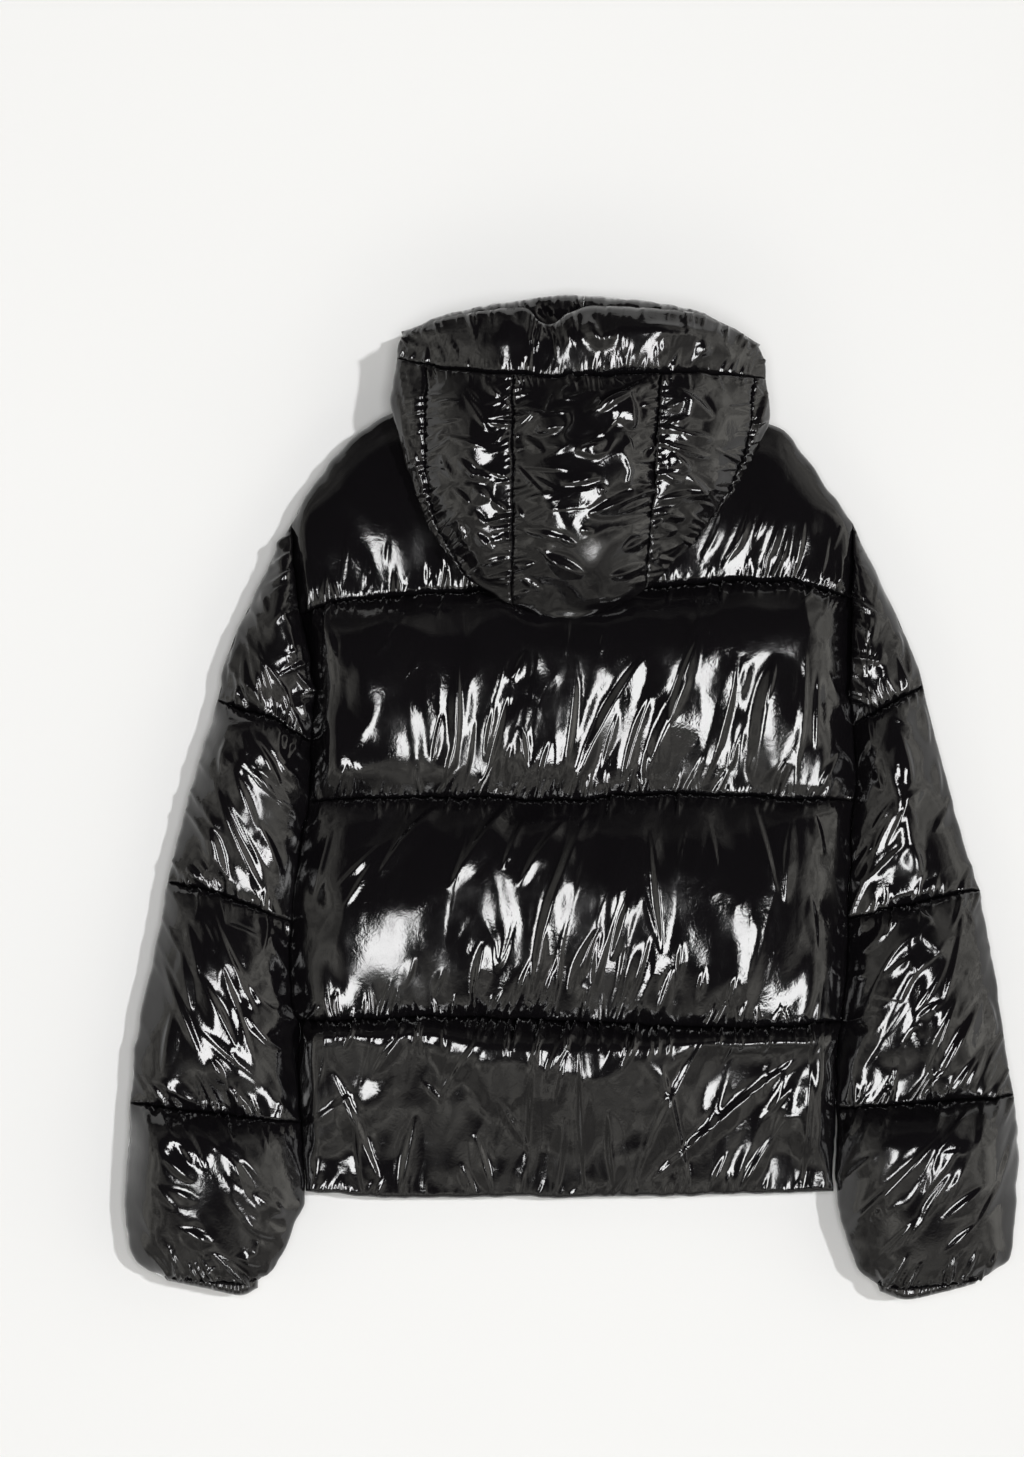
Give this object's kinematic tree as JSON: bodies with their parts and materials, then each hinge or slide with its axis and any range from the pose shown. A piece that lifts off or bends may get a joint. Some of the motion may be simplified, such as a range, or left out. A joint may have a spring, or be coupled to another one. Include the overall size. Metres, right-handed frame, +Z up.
{
  "type": "puffer jacket",
  "caption": "Hooded quilted puffer jacket with long sleeves, zipped closed, lying flat on its front with the hood laid back.",
  "frame": {"origin": "On the surface that the jacket lies on, under the middle of its overall box.", "axes": "+X to the wearer's right, +Y from the hem towards the hood, +Z up, out of the jacket's back."},
  "size_m": [0.7395, 0.8332, 0.124],
  "materials": {
    "shell": "high-gloss coated woven cloth, black, over soft padding",
    "zip_tape": "matt woven tape, black",
    "zip_teeth": "moulded teeth, black satin",
    "zip_metal": "dark lacquered metal, semi-gloss"
  },
  "bodies": {
    "jacket": {"back_hem": "shell", "back_lower": "shell", "back_upper": "shell", "back_yoke": "shell", "collar_left": "shell", "collar_right": "shell", "cuff_left": "shell", "cuff_right": "shell", "front_left_hem": "shell", "front_left_lower": "shell", "front_left_upper": "shell", "front_left_yoke": "shell", "front_right_hem": "shell", "front_right_lower": "shell", "front_right_upper": "shell", "front_right_yoke": "shell", "hood_brim": "shell", "hood_centre": "shell", "hood_end_left": "shell", "hood_end_right": "shell", "hood_fold": "shell", "hood_side_left": "shell", "hood_side_right": "shell", "sleeve_left_back_1": "shell", "sleeve_left_back_2": "shell", "sleeve_left_back_3": "shell", "sleeve_left_back_4": "shell", "sleeve_left_front_1": "shell", "sleeve_left_front_2": "shell", "sleeve_left_front_3": "shell", "sleeve_left_front_4": "shell", "sleeve_right_back_1": "shell", "sleeve_right_back_2": "shell", "sleeve_right_back_3": "shell", "sleeve_right_back_4": "shell", "sleeve_right_front_1": "shell", "sleeve_right_front_2": "shell", "sleeve_right_front_3": "shell", "sleeve_right_front_4": "shell", "zip_slider": "zip_metal", "zip_tape_left": "zip_tape", "zip_tape_right": "zip_tape", "zip_teeth": "zip_teeth"},
    "pull_tab": {"zip_pull": "zip_metal"}
  },
  "joints": [
    {"name": "pull_tab_hinge", "type": "hinge", "parent": "jacket", "child": "pull_tab", "pos_m": [0.002, 0.392, 0.02], "axis": [1, 0, 0], "range_deg": [-38, 118]}
  ]
}
